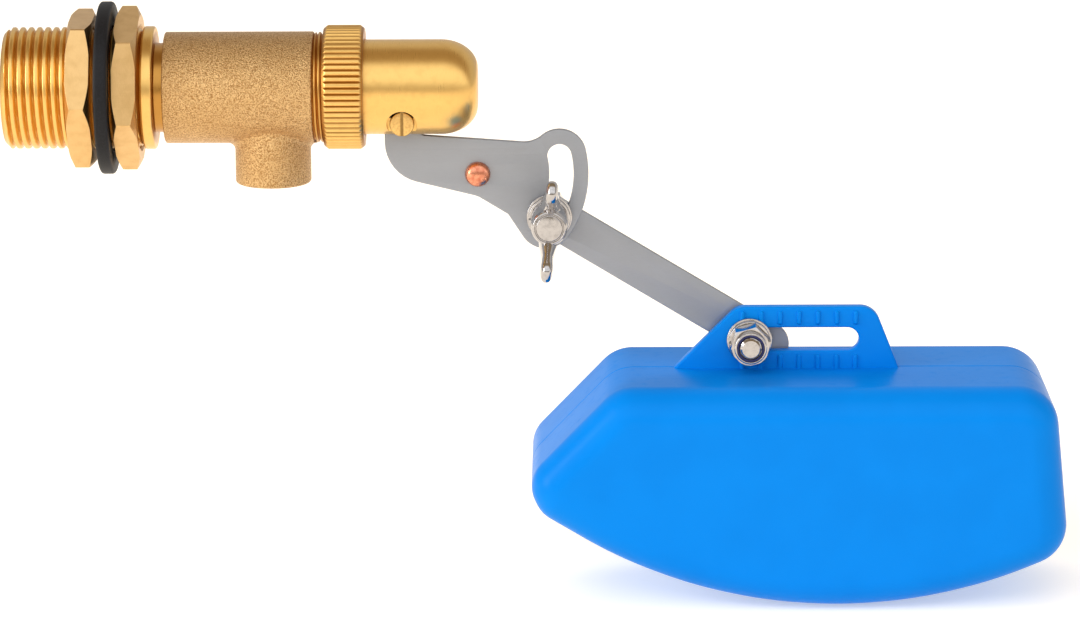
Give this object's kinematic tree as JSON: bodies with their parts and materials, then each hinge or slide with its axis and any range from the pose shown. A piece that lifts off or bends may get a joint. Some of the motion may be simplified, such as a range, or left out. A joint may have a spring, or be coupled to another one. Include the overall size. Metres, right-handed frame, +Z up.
{
  "type": "float valve",
  "caption": "Brass float valve for a water tank: threaded inlet with locknuts, downward spout, domed cap, adjustable lever and a hollow plastic float.",
  "frame": {"origin": "on the inlet axis, in the plane of the gasket face that seals on the tank wall", "axes": "+X along the inlet axis from the threaded end to the dome, +Z up with the spout pointing down, -Y towards the side with the wing screw"},
  "size_m": [0.2306, 0.05, 0.1306],
  "materials": {
    "cast_brass": "sand-cast brass skin, fine grain, satin",
    "turned_brass": "turned and polished brass, fine lathe lines",
    "knurled_brass": "straight-knurled brass",
    "locknut_brass": "milled brass hexagon, light wear on the corners",
    "stainless": "tumbled stainless sheet, dull grey",
    "nickel": "bright plated steel",
    "copper": "polished copper",
    "rubber": "black rubber, matt",
    "fibre": "red-brown fibre",
    "blue_plastic": "moulded blue polypropylene, satin gloss",
    "nylon": "dark blue nylon"
  },
  "bodies": {
    "valve": {"valve_body": "cast_brass", "seat_nozzle": "turned_brass", "tank_gasket": "rubber", "cap_gasket": "fibre", "dome_cap": "turned_brass", "lever_pin": "turned_brass"},
    "outer_nut": {"outer_locknut": "locknut_brass"},
    "inner_nut": {"inner_locknut": "locknut_brass"},
    "cap_nut": {"union_nut": "knurled_brass"},
    "plunger_group": {"plunger": "turned_brass", "plunger_disc": "rubber", "plunger_o_ring": "rubber"},
    "lever": {"quadrant_plate": "stainless", "pivot_rivet": "copper"},
    "arm": {"arm_strip": "stainless", "arm_nut": "nickel", "wing_washer": "nickel", "wing_spring_washer": "nickel"},
    "wing": {"wing_screw": "nickel"},
    "float_clamp": {"float_bolt": "nickel", "rear_washer": "nickel", "front_washer": "nickel", "spring_washer": "nickel", "lock_nut": "nickel", "lock_nut_ring": "nylon"},
    "float": {"float_front_shell": "blue_plastic", "float_rear_shell": "blue_plastic"}
  },
  "joints": [
    {"name": "outer_locknut_turn", "type": "hinge", "parent": "valve", "child": "outer_nut", "pos_m": [-0.00375, 0, 0], "axis": [1, 0, 0], "continuous": true},
    {"name": "inner_locknut_turn", "type": "hinge", "parent": "valve", "child": "inner_nut", "pos_m": [0.00625, 0, 0], "axis": [1, 0, 0], "continuous": true},
    {"name": "union_nut_turn", "type": "hinge", "parent": "valve", "child": "cap_nut", "pos_m": [0.053, 0, 0], "axis": [1, 0, 0], "continuous": true},
    {"name": "lever_pivot", "type": "hinge", "parent": "valve", "child": "lever", "pos_m": [0.0656, 0, -0.0071], "axis": [0, -1, 0], "range_deg": [0, 24]},
    {"name": "plunger_slide", "type": "slide", "parent": "valve", "child": "plunger_group", "axis": [1, 0, 0], "range_m": [-0.0029, 0]},
    {"name": "arm_angle", "type": "hinge", "parent": "lever", "child": "arm", "pos_m": [0.0818, 0, -0.0193], "axis": [0, -1, 0], "range_deg": [-4.5, 43.5]},
    {"name": "wing_screw_turn", "type": "hinge", "parent": "arm", "child": "wing", "pos_m": [0.09745, 0, -0.02878], "axis": [0, -1, 0], "continuous": true},
    {"name": "float_tilt", "type": "hinge", "parent": "arm", "child": "float_clamp", "pos_m": [0.14126, 0, -0.05625], "axis": [0, -1, 0], "range_deg": [-30, 0]},
    {"name": "float_slide", "type": "slide", "parent": "float_clamp", "child": "float", "axis": [-1, 0, 0], "range_m": [0, 0.0213]}
  ],
  "couplings": [
    {"joint": "plunger_slide", "follows": "lever_pivot", "m_per_rad": -0.00677}
  ]
}
